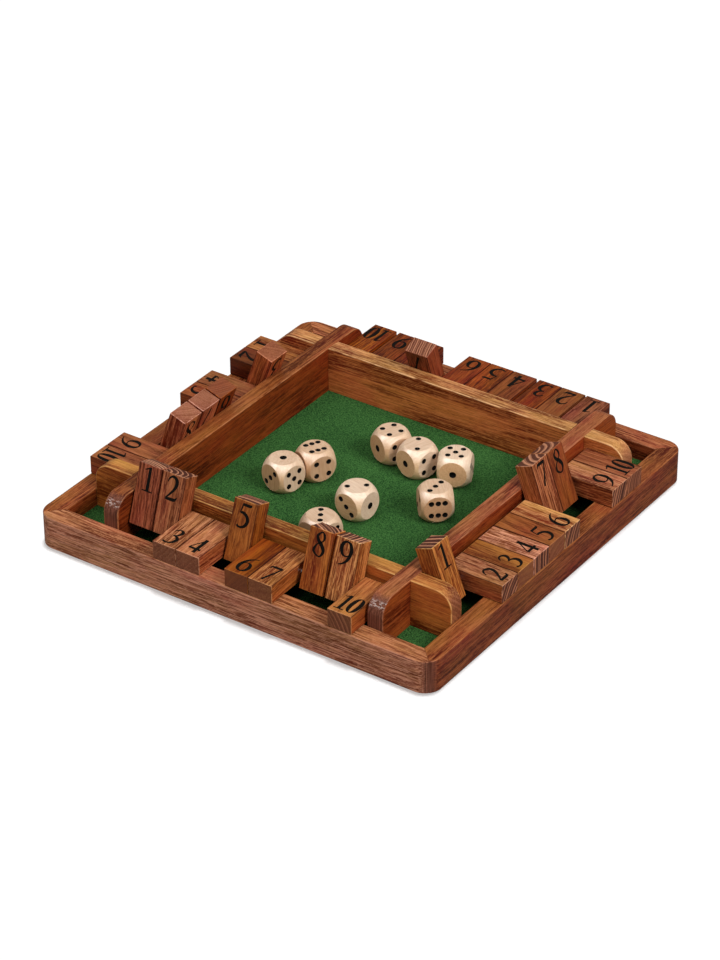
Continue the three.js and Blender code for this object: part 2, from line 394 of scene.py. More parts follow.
def wood_group():
    """One wood for every piece, whose colours, rings and streaks are its inputs."""
    tree = bpy.data.node_groups.new("wood", "ShaderNodeTree")
    for way, kind, names in WOOD_SOCKETS:
        for name in names:
            tree.interface.new_socket(name, in_out=way, socket_type="NodeSocket" + kind)
    net = Net(tree)
    given = tree.nodes.new("NodeGroupInput").outputs
    grain, end, light, seed = (given[name] for name in ("Grain", "End", "Light", "Seed"))
    noises = {}
    for name, (along, across, shift, detail, rough) in WOOD_NOISES.items():
        place = net.scaled(grain, (along, across, across))
        noises[name] = net.noise(place, net.plus(seed, shift), detail, rough)

    def swing(value, spread=0.13):
        return net.map(value, 0.5 - spread, 0.5 + spread, -0.5, 0.5)

    # The rings: bands of uneven tone, each ending in a thin dark line.
    x, y, z = net.split(grain)
    radius = net.vector("LENGTH", net.merge(0.0, y, z))
    radius = net.fused(noises["warp"], WARP_SIZE, radius)
    radius = net.fused(noises["wobble"], WOBBLE_SIZE, radius)
    ring = net.math("DIVIDE", radius, given["Pitch"])
    links = {"W": net.plus(ring, seed), "Scale": 0.9, "Detail": 3.0, "Roughness": 0.7}
    band = net.put("TexNoise", links, noise_dimensions="1D").outputs["Fac"]
    late = net.math("POWER", net.math("FRACT", ring), 5.0)
    dark = net.fused(net.fused(late, 0.5, swing(band)), given["Bands"], MEAN_DARK)
    dark = net.fused(swing(noises["streak"]), given["Streaks"], dark)
    dark = net.fused(swing(noises["broad"]), given["Figure"], dark)
    dark = net.fused(swing(noises["fibre"], 0.1), given["Flecks"], dark, clamp=True)
    colour = net.mix(dark, light, given["Dark"])
    hue = net.map(noises["blotch"], 0.35, 0.65, 0.487, 0.511)
    colour = net.put("HueSaturation", {"Hue": hue, "Color": colour}).outputs[0]

    # Pores are short dark dashes, and between them lie bright ones. Then come long thin hairs of
    # light and dark wood.
    deep = net.tinted(given["Dark"], PORE_TINT)
    bright = net.tinted(light, GLEAM_TINT)
    pore = net.map(noises["dash"], 0.58, 0.70)
    for share, most, paint in (
        (pore, 0.75, deep),
        (net.map(noises["dash"], 0.46, 0.34), 0.7, bright),
        (net.map(noises["hair"], 0.52, 0.64), 1.0, bright),
        (net.map(noises["hair"], 0.47, 0.34), 0.6, given["Dark"]),
    ):
        colour = net.mix(net.times(net.times(share, most), given["Flecks"]), colour, paint)

    # End grain is nearly one brown on every piece, with pale rings where they stand out.
    upward = net.facing()["Z"]
    plain = net.mix(0.6, net.tinted(colour, END_TINT), END_BROWN)
    off = net.off(net.math("FRACT", net.fused(band, 1.6, ring)), 0.45)
    line = net.times(net.map(off, 0.25, 0.09), net.map(band, 0.68, 0.48, 0.4, 1.0))
    # Painted light: the pale ring lines are paler where an end face turns up.
    pale = net.mix(net.map(upward, 0.1, 0.6), RING_PALE, RING_PALE_LIT)
    striped = net.mix(line, RING_DARK, pale)
    colour = net.mix(end, colour, net.mix(given["Lines"], plain, striped))

    # A sander leaves fine upright lines where a side turns a corner, at one end of the log: the far
    # end where Marks is above 0, and the near one below.
    upright = net.noise(net.scaled(grain, (1.5, 1.5, 0.03)), seed, 2, 0.7)
    at_end = net.map(net.times(x, given["Marks"]), 20.0, 60.0)
    turning = net.times(net.map(end, 0.03, 0.3), at_end)
    sanded = net.mix(net.map(upright, 0.36, 0.66), SANDED_DARK, SANDED_PALE)
    colour = net.mix(net.times(turning, 0.85), colour, sanded)

    # Faces that stand get painted shade: a deeper, browner tint than those that look up, set by Depth and
    # Deep, and less of it on end grain.
    standing = net.times(net.map(upward, 0.85, 0.1), given["Depth"])
    standing = net.times(standing, net.math("SUBTRACT", 1.0, end))
    colour = net.mix(standing, colour, net.tinted(colour, given["Deep"]))

    # A painted highlight lies on the round top of an ear, broken into specks. The edges get pale lines here
    # and there, partly rubbed and partly painted highlight, and where Ease is below 0 they get painted
    # shade instead, darkening the seams.
    ear_glint = net.times(net.map(net.off(upward, 0.62), 0.20, 0.08), turning)
    glint_breaks = net.noise(net.scaled(grain, (0.5, 0.5, 1.6)), seed, 1, 0.6)
    ear_glint = net.times(ear_glint, net.map(glint_breaks, 0.50, 0.60))
    colour = net.mix(net.times(ear_glint, 0.6), colour, GLINT_PAINT)
    # Pale lines on the eased edges, partly rubbed wood and partly painted highlight.
    wear_and_highlight = net.times(given["Ease"], given["Wear"], clamp=True)
    wear_and_highlight = net.times(net.map(noises["chafe"], 0.38, 0.58), wear_and_highlight)
    colour = net.mix(wear_and_highlight, colour, net.tinted(light, RUBBED_HIGHLIGHT_TINT))
    # Painted shade on the long edges of tiles, where Ease is below 0, darkening the seams between them.
    seam_shade = net.times(given["Ease"], -1.0, clamp=True)
    colour = net.mix(seam_shade, colour, net.tinted(deep, SEAM_SHADE_TINT))

    rough = net.map(noises["streak"], 0.3, 0.7, 0.38, 0.50)
    for share, more in ((pore, 0.16), (seam_shade, 0.45), (end, 0.15)):
        rough = net.fused(share, more, rough)
    height = net.fused(noises["fibre"], 0.5, net.times(band, 0.2))
    height = net.fused(pore, -0.6, height)
    out = tree.nodes.new("NodeGroupOutput").inputs
    for name, value in (("Color", colour), ("Roughness", rough), ("Height", height)):
        net.join(out[name], value)
    return tree


WOOD = wood_group()


def shader_of(name):
    material = bpy.data.materials.new(name)
    material.use_nodes = True
    tree = material.node_tree
    return material, Net(tree), tree.nodes["Principled BSDF"]


def wood(name, tone, shade=1.0, carried=False, **look):
    """A wood around a mean tone. A carried piece has no grain of its own, so its place stands in."""
    material, net, shader = shader_of(name)
    group = net.put("Group", node_tree=WOOD)
    if carried:
        net.join(group.inputs["Grain"], net.vector("ADD", net.place(1 / MM), PANEL_HEART))
    else:
        net.join(group.inputs["Grain"], net.attribute("grain", "Vector"))
        net.join(group.inputs["End"], net.attribute("end"))
        net.join(group.inputs["Ease"], net.attribute("ease"))
    mean = [c * shade for c in srgb(TONES[tone])[:3]]
    values = {**WOOD_LOOK, **look}
    values["light"] = [c * k for c, k in zip(mean, LIGHTEN)] + [1]
    values["dark"] = [c * k for c, k in zip(mean, DARKEN)] + [1]
    for key, value in values.items():
        group.inputs[key.capitalize()].default_value = value
    sockets = {"Base Color": group.outputs["Color"], "Roughness": group.outputs["Roughness"]}
    sockets.update({"Specular IOR Level": 0.18, "Coat Weight": 0.03, "Coat Roughness": 0.3})
    net.dress(shader, sockets, group.outputs["Height"], 0.5, 0.0002)
    return material


def speckled(name, fineness, seed, detail, dark, pale, rough, settings, bump=0.0):
    """Paint or metal with one fine speckle, which goes from dark to pale and between two roughnesses."""
    material, net, shader = shader_of(name)
    speck = net.noise(net.place(fineness), seed, detail)
    sockets = {"Base Color": net.mix(speck, dark, pale), "Roughness": net.map(speck, 0.3, 0.7, *rough)}
    net.dress(shader, {**sockets, **settings}, speck if bump else None, bump, 0.0001)
    return material


def ink_material():
    colours = (0.002, 0.0015, 0.001, 1), (0.008, 0.006, 0.004, 1)
    return speckled("number_ink", 900, 2.0, 2, *colours, (0.6, 0.8), {"Specular IOR Level": 0.1}, bump=0.2)


def pip_material():
    colours = (0.001, 0.001, 0.001, 1), (0.004, 0.003, 0.002, 1)
    return speckled("pip_paint", 700, 8.0, 2, *colours, (0.5, 0.7), {"Specular IOR Level": 0.05})


def steel_material():
    colours = srgb("b4b7bb"), srgb("dcdee0")
    return speckled("drawn_steel", 300, 1.0, 3, *colours, (0.2, 0.36), {"Metallic": 1.0})


def felt_material():
    """Green felt, with painted shade in the channels beneath the tiles."""
    material, net, shader = shader_of("felt")
    place = net.place(1 / MM)
    broad = net.noise(net.scaled(place, (0.03, 0.03, 0.03)), 1.0, 3)
    clump = net.noise(net.scaled(place, (1.2, 1.2, 1.2)), 2.0, 1, 0.6)
    hair = net.noise(net.scaled(place, (2.6, 2.6, 2.6)), 3.0, 3, 0.7)
    tone = net.plus(net.map(clump, 0.38, 0.62, -0.05, 0.75), net.map(hair, 0.38, 0.62, -0.1, 0.4))
    tone = net.plus(tone, net.map(broad, 0.3, 0.7, -0.12, 0.12), clamp=True)
    green = net.mix(tone, srgb("17361a"), srgb("47783c"))
    x, y, _ = net.split(place)
    x, y = net.math("ABSOLUTE", x), net.math("ABSOLUTE", y)
    # Painted shade: the felt is darkened in the channels between wall and rim, away from the corners.
    channel_shade = net.map(net.math("MAXIMUM", x, y), WALL_OUTER - 5, WALL_OUTER)
    channel_shade = net.times(channel_shade, net.map(net.math("MINIMUM", x, y), WALL_OUTER - 6, TRAY_HALF))
    colour = net.mix(channel_shade, green, net.tinted(green, (0.35, 0.35, 0.35, 1)))
    sockets = {"Base Color": colour, "Roughness": 0.95, "Specular IOR Level": 0.05}
    net.dress(shader, sockets, net.fused(clump, 0.5, hair), 0.7, 0.0006)
    return material


def die_material():
    """Pale sanded wood. The flats are duller and browner than the ball they are cut from, sides that face
    the first player get painted shade, warmer and browner, and a tanned die is browner all round, more so
    on those shaded sides."""
    material, net, shader = shader_of("die_wood")
    grain = net.attribute("grain", "Vector")
    flat = net.attribute("flat")
    lines = net.noise(net.scaled(grain, (0.06, 0.9, 0.9)), 4.0, 3, 0.7)
    rays = net.noise(net.scaled(grain, (0.5, 4.0, 4.0)), 5.0, 2)
    broad = net.noise(net.scaled(grain, (0.03, 0.12, 0.12)), 6.0, 2)
    tone = net.plus(net.map(lines, 0.36, 0.64, -0.1, 0.6), net.map(broad, 0.3, 0.7, -0.1, 0.3))
    tone = net.plus(tone, net.map(rays, 0.55, 0.75, 0.0, 0.25), clamp=True)
    ball = net.mix(tone, srgb("f1d9be"), srgb("ddb796"))
    face = net.mix(tone, srgb("e6cbb1"), srgb("cda786"))
    colour = net.mix(flat, ball, face)
    # Painted shade on the sides that face the first player and do not look up: a warmer, browner tint.
    _, northward, upward = net.facing()
    shaded_side = net.times(net.map(upward, 0.8, 0.1), net.map(northward, -0.25, -0.85))
    side_shade_tint = net.mix(flat, (1.0, 0.87, 0.67, 1), (1.0, 0.80, 0.55, 1))
    colour = net.mix(shaded_side, colour, net.tinted(colour, side_shade_tint))
    # A tanned die's tint, browner on the sides with painted shade.
    tan = net.mix(shaded_side, (0.82, 0.72, 0.62, 1), (0.62, 0.48, 0.42, 1))
    colour = net.mix(net.attribute("tan"), colour, net.tinted(colour, tan))
    sockets = {"Base Color": colour, "Roughness": net.map(flat, 0.0, 1.0, 0.42, 0.55)}
    sockets.update({"Coat Weight": 0.1, "Coat Roughness": 0.3})
    net.dress(shader, sockets, lines, 0.12, 0.0001)
    return material


def turned(index):
    return Matrix.Rotation(index * QUARTER, 4, "Z")


# The rim: four mitred rails.


def rail_mesh():
    flat = BOARD_HALF - RIM_CORNER
    slip = SEAM * math.sqrt(2)
    outline = arc(-flat, -flat, RIM_CORNER, 2.5 * QUARTER, 3 * QUARTER, 8)
    outline += arc(flat, -flat, RIM_CORNER, 3 * QUARTER, 3.5 * QUARTER, 8)
    outline[0] = (outline[0][0] + slip, outline[0][1])
    outline[-1] = (outline[-1][0] - slip, outline[-1][1])
    outline += [(RIM_INNER - slip, -RIM_INNER), (slip - RIM_INNER, -RIM_INNER)]
    bm = bmesh.new()
    prism(bm, outline, 0, RIM_HEIGHT)

    def level(edge, height):
        return all(abs(v.co.z - height) < NEAR for v in edge.verts)

    def inside(edge):
        return all(abs(v.co.y + RIM_INNER) < NEAR for v in edge.verts)

    bm.normal_update()
    outside = 0.1 - flat - RIM_CORNER * 0.7
    inner = [e for e in bm.edges if inside(e) and level(e, RIM_HEIGHT)]
    outer = [e for e in bm.edges if all(v.co.y < outside for v in e.verts) and not inside(e)]
    upright = [f for f in bm.faces if abs(f.normal.z) < 0.1 and len(f.verts) == 4]
    caps = {e for f in upright if is_mitre(f) for e in f.edges}
    top = [e for e in outer + inner if level(e, RIM_HEIGHT) and e not in caps]
    foot = [e for e in outer if level(e, 0) and e not in caps]
    bevel(bm, top, RIM_EASE, 4)
    bevel(bm, [e for e in foot if e.is_valid], RIM_FOOT_EASE, 2)
    return mesh_from(bm, "rail")


def is_mitre(face):
    """A mitre face runs from the inner corner to the middle of the round outer corner."""
    return sum(abs(abs(v.co.y) - RIM_INNER) < NEAR for v in face.verts) == 2 and any(
        abs(v.co.y) > RIM_INNER + 1 for v in face.verts
    )


def glue_line():
    """The outline from above of the glue in the mitre at a rail's far end, a hair wider than the seam."""
    near = RIM_INNER + GLUE_INSET
    far = BOARD_HALF - RIM_CORNER * (1 - math.sqrt(0.5)) - GLUE_INSET
    half = (SEAM + GLUE_LAP) * math.sqrt(0.5)
    left = [(near - half, -near - half), (far - half, -far - half)]
    return left + [(far + half, -far + half), (near + half, -near + half)]


def make_rails(materials):
    for index, side in enumerate(SIDES):
        rail = new_object("rail_" + side, rail_mesh())
        groove = bmesh.new()
        reach = RIM_INNER + GROOVE_DEPTH
        box_prism(groove, (-reach, -reach, GROOVE_LOW), (reach, 1 - RIM_INNER, GROOVE_HIGH))
        cut(rail, mesh_from(groove, "groove"))
        glued = bmesh.new()
        glued.from_mesh(rail.data)
        prism(glued, glue_line(), GLUE_INSET, RIM_HEIGHT - GLUE_INSET)
        glued.to_mesh(rail.data)
        glued.free()
        smoothed(rail)
        for face in rail.data.polygons:
            face.material_index = int(abs(face.normal.z) < 0.5 and face.center.y < -RIM_INNER - 1)
        set_grain(rail.data, RAIL_HEARTS[side], (0.02, -0.015), over=2)
        settle(rail, turned(index), "board", "outer_rim", materials[side])


# The walls around the tray.


def wall_mesh():
    end = RIM_INNER - CUT_GAP
    outline = [(-end, WALL_FOOT), (end, WALL_FOOT)]
    outline += arc(end - EAR_RADIUS, WALL_TOP - EAR_RADIUS, EAR_RADIUS, 0, QUARTER, 14)
    outline += arc(EAR_RADIUS - end, WALL_TOP - EAR_RADIUS, EAR_RADIUS, QUARTER, 2 * QUARTER, 14)
    bm = bmesh.new()
    prism(bm, outline, -WALL_OUTER, -TRAY_HALF, "Y")
    bm.normal_update()
    around = [
        e for e in bm.edges
        if abs(e.verts[0].co.y - e.verts[1].co.y) < NEAR and max(v.co.z for v in e.verts) > WALL_FOOT + NEAR
    ]
    bevel(bm, around, WALL_EASE, 3)
    return mesh_from(bm, "wall")


def make_walls(materials, rod_line):
    for index, side in enumerate(SIDES):
        piece = new_object("wall_" + side + "_dressed", wall_mesh())
        cutter = bmesh.new()
        notched_above = side in ("south", "north")
        low = LAP_HEIGHT - CUT_GAP / 2 if notched_above else WALL_FOOT - PAST
        high = WALL_TOP + PAST if notched_above else LAP_HEIGHT + CUT_GAP / 2
        bore = ROD_SEAT + PAST
        for end in (-1, 1):
            near, far = sorted((end * (TRAY_HALF - CUT_GAP), end * (WALL_OUTER + CUT_GAP)))
            box_prism(cutter, (near, -WALL_OUTER - PAST, low), (far, PAST - TRAY_HALF, high))
            centre = (end * rod_line, PAST - TRAY_HALF - bore / 2, ROD_HEIGHT)
            rod_prism(cutter, centre, ROD_RADIUS + CUT_GAP, bore, "Y", 24)
        cut(piece, mesh_from(cutter, "notches"))
        smoothed(piece)
        set_grain(piece.data, WALL_HEARTS[side], (0.015, 0.02), over=1)
        settle(piece, turned(index), "board", "wall_" + side, [materials[side]])


def make_rods(material, rod_line):
    for index, side in enumerate(SIDES):
        bm = bmesh.new()
        length = 2 * (TRAY_HALF + ROD_SEAT - ROD_END_GAP)
        rod_prism(bm, (0, -rod_line, ROD_HEIGHT), ROD_RADIUS, length, "X", 32)
        ends = [e for e in bm.edges if any(len(f.verts) > 4 for f in e.link_faces)]
        bevel(bm, ends, ROD_EASE, 2)
        piece = smoothed(new_object("rod_" + side + "_dressed", mesh_from(bm, "rod")))
        settle(piece, turned(index), "board", "rod_" + side, [material])


def make_felt(material):
    """The felt is one closed sheet, whose nap rises and falls a little."""
    half = RIM_INNER - CUT_GAP
    xs = np.linspace(-half, half, FELT_COLUMNS)
    nap = np.random.default_rng(11).random((FELT_COLUMNS, FELT_COLUMNS)) * FELT_NAP
    bm = bmesh.new()
    grid = [
        [bm.verts.new((x, y, FELT_TOP - nap[i, j])) for j, y in enumerate(xs)] for i, x in enumerate(xs)
    ]
    for i in range(FELT_COLUMNS - 1):
        for j in range(FELT_COLUMNS - 1):
            bm.faces.new((grid[i][j], grid[i + 1][j], grid[i + 1][j + 1], grid[i][j + 1]))
    edge = [e for e in bm.edges if e.is_boundary]
    made = bmesh.ops.extrude_edge_only(bm, edges=edge)["geom"]
    foot = [v for v in made if isinstance(v, bmesh.types.BMVert)]
    for v in foot:
        v.co.z = FELT_FOOT
    bmesh.ops.contextual_create(bm, geom=[e for e in bm.edges if e.is_boundary])
    bmesh.ops.recalc_face_normals(bm, faces=bm.faces[:])
    piece = new_object("felt", mesh_from(bm, "felt"))
    piece.data.shade_smooth()
    piece.data.set_sharp_from_angle(angle=math.radians(50))
    settle(piece, Matrix.Identity(4), "board", "felt_lining", [material])


# The numbers. A stroke is a smooth line through points, each its x, its y and the line's width there,
# in thousandths of the height. A 9 is a 6 turned around.
STROKES = {
    "0": [
        "290 985 40, 130 850 120, 70 500 150, 130 150 120, 290 15 40, 450 150 120, 510 500 150, "
        "450 850 120, 290 985 40",
    ],
    "1": [
        "310 0 125, 310 1000 115",
        "345 985 30, 220 930 50, 70 860 35",
        "60 20 35, 310 25 50, 560 20 35",
    ],
    "2": [
        "50 720 30, 100 870 60, 250 980 80, 430 900 120, 480 720 130, 400 500 100, 220 250 70, "
        "60 70 50",
        "40 55 90, 250 55 110, 460 65 110, 530 120 60, 580 200 30",
    ],
    "3": [
        "60 800 30, 130 920 60, 270 985 70, 410 900 110, 430 760 120, 340 610 80, 190 530 45",
        "190 530 45, 330 530 70, 470 420 120, 500 270 140, 420 100 110, 260 10 70, 120 20 70, "
        "50 70 90",
    ],
    "4": [
        "400 0 130, 400 1000 130",
        "420 980 50, 40 270 45",
        "30 260 100, 580 260 100",
    ],
    "5": [
        "170 930 90, 520 930 100, 570 1000 30",
        "200 950 50, 110 580 40",
        "110 580 60, 250 600 100, 420 510 120, 500 340 130, 440 140 110, 280 20 80, 120 10 70, "
        "40 60 90",
    ],
    "6": [
        "560 990 30, 360 900 60, 180 720 100, 90 480 130, 80 300 140, 140 100 110, 300 15 60, "
        "460 100 110, 520 300 140, 460 520 100, 320 600 50, 180 550 40, 110 480 40",
    ],
    "7": [
        "50 800 30, 100 920 80, 200 940 110, 550 940 110",
        "550 970 50, 430 620 70, 280 200 90, 210 0 100",
    ],
    "8": [
        "300 985 50, 140 800 90, 220 620 120, 360 500 140, 490 280 120, 420 70 70, 290 15 50, "
        "100 130 80, 70 260 90, 160 450 50, 300 560 45, 420 660 50, 460 800 90, 400 940 70, "
        "300 985 50",
    ],
}
DIGIT_HEIGHT = 16.2
DIGIT_WIDTH_SHARE = 0.58
STROKE_SHARE = 1.2
INK_RISE = 0.035
STROKE_RISE = 0.006
INK_DEPTH = 0.2
TEN_PLACES = {"1": (-3.5, 0.9), "0": (4.3, 0.78)}
LYING_DIGIT_FROM_END = 3.3
STANDING_DIGIT_FROM_END = 1.6


def smooth_line(rows, steps=6):
    """A Catmull-Rom line through the points, straight where there are only two."""
    if len(rows) == 2:
        return rows
    closed = np.allclose(rows[0], rows[-1])
    before = rows[-2] if closed else 2 * rows[0] - rows[1]
    after = rows[1] if closed else 2 * rows[-1] - rows[-2]
    padded = np.vstack([before, rows, after])
    made = []
    for i in range(1, len(padded) - 2):
        a, b, c, d = padded[i - 1 : i + 3]
        for t in np.arange(steps) / steps:
            square = (2 * a - 5 * b + 4 * c - d) * t**2
            cube = (3 * b - a - 3 * c + d) * t**3
            made.append(0.5 * (2 * b + (c - a) * t + square + cube))
    made.append(rows[-1])
    return np.array(made)


def add_strip(bm, line, rise, place):
    """A stroke as a thin closed strip. place takes (right, up, out) to the tile's own frame."""
    way = np.gradient(line[:, :2], axis=0)
    way /= np.maximum(np.linalg.norm(way, axis=1, keepdims=True), 1e-9)
    side = np.stack([-way[:, 1], way[:, 0]], axis=1) * line[:, 2:3] / 2
    rings = []
    for (x, y, _), (sx, sy) in zip(line, side):
        left, right = (x + sx, y + sy), (x - sx, y - sy)
        corners = ((*left, rise), (*right, rise), (*right, -INK_DEPTH), (*left, -INK_DEPTH))
        rings.append([bm.verts.new(place(*corner)) for corner in corners])
    closed = np.allclose(line[0], line[-1])
    if closed:
        for v in rings.pop():
            bm.verts.remove(v)
    faces = []
    count = len(rings)
    for i in range(count if closed else count - 1):
        a, b = rings[i], rings[(i + 1) % count]
        faces += [bm.faces.new((a[k], a[(k + 1) % 4], b[(k + 1) % 4], b[k])) for k in range(4)]
    if not closed:
        faces += [bm.faces.new(rings[0]), bm.faces.new(rings[-1])]
    for face in faces:
        face.material_index = 1
    return faces


def add_number(bm, number, reach):
    """The number on both broad faces: read from the player's seat when lying, and upright when standing."""
    letters = [(str(number), 0.0, 1.0)]
    if number == 10:
        letters = [(letter, *TEN_PLACES[letter]) for letter in "10"]
    lying = (reach - LYING_DIGIT_FROM_END, -1, 1)
    standing = (reach - STANDING_DIGIT_FROM_END - DIGIT_HEIGHT, 1, -1)
    for foot, climb, face in (lying, standing):

        def place(right, up, out):
            return foot + climb * up, right, face * (TILE_HALF_HEIGHT + out)

        for letter, shift, squeeze in letters:
            for order, stroke in enumerate(STROKES["6" if letter == "9" else letter]):
                points = np.array([point.split() for point in stroke.split(",")], float) / 1000
                if letter == "9":
                    points[:, :2] = (DIGIT_WIDTH_SHARE, 1) - points[:, :2]
                line = smooth_line(points)
                line[:, 0] = (line[:, 0] - DIGIT_WIDTH_SHARE / 2) * squeeze
                line[:, 2] *= STROKE_SHARE
                line *= DIGIT_HEIGHT
                line[:, 0] += shift
                faces = add_strip(bm, line, INK_RISE + order * STROKE_RISE, place)
                bmesh.ops.recalc_face_normals(bm, faces=faces)


def tile_blank(reach):
    bm = bmesh.new()
    low = (TILE_INNER, -TILE_HALF_WIDTH, -TILE_HALF_HEIGHT)
    box_prism(bm, low, (reach, TILE_HALF_WIDTH, TILE_HALF_HEIGHT))
    bevel(bm, bm.edges[:], TILE_EASE, 3)
    blank = new_object("tile_blank", mesh_from(bm, "tile"))
    bore = bmesh.new()
    rod_prism(bore, (0, 0, 0), BORE_RADIUS, 2 * (TILE_HALF_WIDTH + PAST), "Y", 28)
    return smoothed(cut(blank, mesh_from(bore, "bore")))


def make_tiles(blank, reach, ink):
    for joint in frame["joints"]:
        if joint["type"] != "hinge":
            continue
        _, side, number = joint["name"].split("_")
        number = int(number)
        node = joint["child"]
        pivot = Vector(joint["pos_m"]) / MM
        outward = UP.cross(Vector(joint["axis"]))
        low, high = joint["range_deg"]
        turn = math.radians(-low) if low < 0 else 0
        basis = Matrix((outward, UP.cross(outward), UP)).transposed().to_4x4()
        place = Matrix.Translation(pivot) @ basis @ Matrix.Rotation(-turn, 4, "Y")
        tone, shade, heart, lean, look = TILE_LOOKS[side][number - 1]
        wooden = blank.data.copy()
        # The long edges get painted shade in the seams, not pale lines.
        set_grain(wooden, heart, lean, edges=-1.0)
        bm = bmesh.new()
        bm.from_mesh(wooden)
        add_number(bm, number, reach)
        piece = new_object(node + "_dressed", mesh_from(bm, node))
        material = wood(node + "_wood", tone, shade, **look)
        settle(piece, place, node, node, [material, ink])


# The dice. Each face is cut flat from a ball: a disc with pips, a soft edge, and its share of the
# ball, out to where the next face's share begins.
DIE_FACES = {
    1: ((1, 0, 0), (0, 1, 0), (0, 0, 1), [(0, 0)]),
    2: ((0, 0, 1), (1, 0, 0), (0, 1, 0), [(-1, -1), (1, 1)]),
    3: ((0, -1, 0), (1, 0, 0), (0, 0, 1), [(-1, 1), (0, 0), (1, -1)]),
    4: ((0, 1, 0), (1, 0, 0), (0, 0, 1), [(-1, -1), (1, -1), (-1, 1), (1, 1)]),
    5: ((0, 0, -1), (1, 0, 0), (0, 1, 0), [(-1, -1), (1, -1), (-1, 1), (1, 1), (0, 0)]),
    6: ((-1, 0, 0), (0, 1, 0), (0, 0, 1), [(-1, -1), (1, -1), (-1, 1), (1, 1), (-1, 0), (1, 0)]),
}


def die_face(bm, flat_layer, number):
    out, across, along, pips = DIE_FACES[number]
    out, across, along = Vector(out), Vector(across), Vector(along)
    radius = ONE_PIP_RADIUS if number == 1 else PIP_RADIUS
    inner = FLAT_RADIUS - FLAT_EASE
    rim = circle(0, 0, inner, DIE_SEGMENTS)
    points = list(rim)
    loops = [list(range(DIE_SEGMENTS))]
    depth = {}
    ball = (radius**2 + PIP_DEPTH**2) / (2 * PIP_DEPTH)
    for i, j in pips:
        for share in PIP_RINGS:
            start = len(points)
            points += circle(i * PIP_STEP, j * PIP_STEP, radius * share, PIP_SEGMENTS)
            loops.append(list(range(start, len(points))))
            sunk = math.sqrt(ball**2 - (radius * share) ** 2) - (ball - PIP_DEPTH)
            depth.update({index: sunk for index in loops[-1]})
        depth[len(points)] = PIP_DEPTH
        points.append((i * PIP_STEP, j * PIP_STEP))
    edges = [(loop[k], loop[(k + 1) % len(loop)]) for loop in loops for k in range(len(loop))]
    found = geometry.delaunay_2d_cdt([Vector(p) for p in points], edges, [], 0, 1e-6)
    co, _, triangles, origin = found[:4]
    verts = []
    for p, sources in zip(co, origin):
        sunk = depth.get(sources[0], 0.0) if sources else 0.0
        verts.append(bm.verts.new(out * (DIE_HALF - sunk) + across * p[0] + along * p[1]))
    for triangle in triangles:
        face = bm.faces.new([verts[k] for k in triangle])
        middle = sum((Vector(co[k]) for k in triangle), Vector((0, 0))) / 3
        inside = any((middle - Vector((i, j)) * PIP_STEP).length < radius for i, j in pips)
        face.material_index = 1 if inside else 0
        face[flat_layer] = 1.0
    around = math.hypot(DIE_HALF, FLAT_RADIUS)
    rings = [[bm.verts.new(out * DIE_HALF + across * x + along * y) for x, y in rim]]
    start = math.atan2(FLAT_RADIUS, DIE_HALF)
    levels = [(None, ease) for ease in EDGE_ROUNDS] + [(share, None) for share in BALL_ROUNDS]
    for share, ease in levels:
        ring = []
        for k in range(DIE_SEGMENTS):
            turn = 4 * QUARTER * k / DIE_SEGMENTS
            way = across * math.cos(turn) + along * math.sin(turn)
            if share is None:
                reach = inner + (FLAT_RADIUS + EDGE_REACH - inner) * ease
                drop = EDGE_DROP * ease**2
                ring.append(bm.verts.new(out * (DIE_HALF - drop) + way * reach))
                continue
            limit = math.atan(1 / max(abs(math.cos(turn)), abs(math.sin(turn))))
            angle = start + (limit - start) * share
            ring.append(bm.verts.new((out * math.cos(angle) + way * math.sin(angle)) * around))
        rings.append(ring)
    for level, (a, b) in enumerate(zip(rings, rings[1:])):
        for k in range(DIE_SEGMENTS):
            n = (k + 1) % DIE_SEGMENTS
            face = bm.faces.new((a[k], b[k], b[n], a[n]))
            face[flat_layer] = 1.0 if level == 0 else 0.0


def die_mesh():
    bm = bmesh.new()
    flat_layer = bm.faces.layers.float.new("flat")
    for number in DIE_FACES:
        die_face(bm, flat_layer, number)
    bmesh.ops.remove_doubles(bm, verts=bm.verts[:], dist=WELD)
    bmesh.ops.recalc_face_normals(bm, faces=bm.faces[:])
    piece = new_object("die_blank", mesh_from(bm, "die"))
    return smoothed(piece, 34)


# A die's top and front numbers, its place on the felt in dice widths, its turn in degrees, and how
# tanned its wood is.
DICE = {
    "die_1": (1, 3, (-2.28, -0.96), -15.3, 0.45),
    "die_2": (6, 2, (-1.85, 0.06), -27.9, 0.95),
    "die_3": (4, 1, (-0.5, 2.16), -24.6, 0.6),
    "die_4": (2, 1, (0.6, 1.93), -14.8, 0.2),
    "die_5": (5, 1, (1.79, 2.17), 23.4, 0.05),
    "die_6": (2, 3, (0.41, -1.01), -5, 0.1),
    "die_7": (3, 2, (0.43, -2.9), -12.4, 0.7),
    "die_8": (3, 2, (2.34, 0.25), -46.9, 0.75),
}


def make_dice(materials):
    blank = die_mesh()
    for index, (node, (top, front, place, turn, tan)) in enumerate(DICE.items()):
        upward = Vector(DIE_FACES[top][0])
        back = -Vector(DIE_FACES[front][0])
        upright = Matrix((back.cross(upward), back, upward)).to_4x4()
        low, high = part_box(node)
        centre = (low + high) / 2 / MM
        spot = Matrix.Translation((place[0] * 2 * DIE_HALF, place[1] * 2 * DIE_HALF, centre.z))
        piece = new_object(node + "_dressed", blank.data.copy())
        set_grain(piece.data, (14 + 3 * index, 22 - 4 * index), (0.1, 0.06))
        tans = [tan] * len(piece.data.polygons)
        piece.data.attributes.new("tan", "FLOAT", "FACE").data.foreach_set("value", tans)
        spot = spot @ Matrix.Rotation(math.radians(turn), 4, "Z") @ upright
        settle(piece, spot, node, node, materials)
    bpy.data.objects.remove(blank)


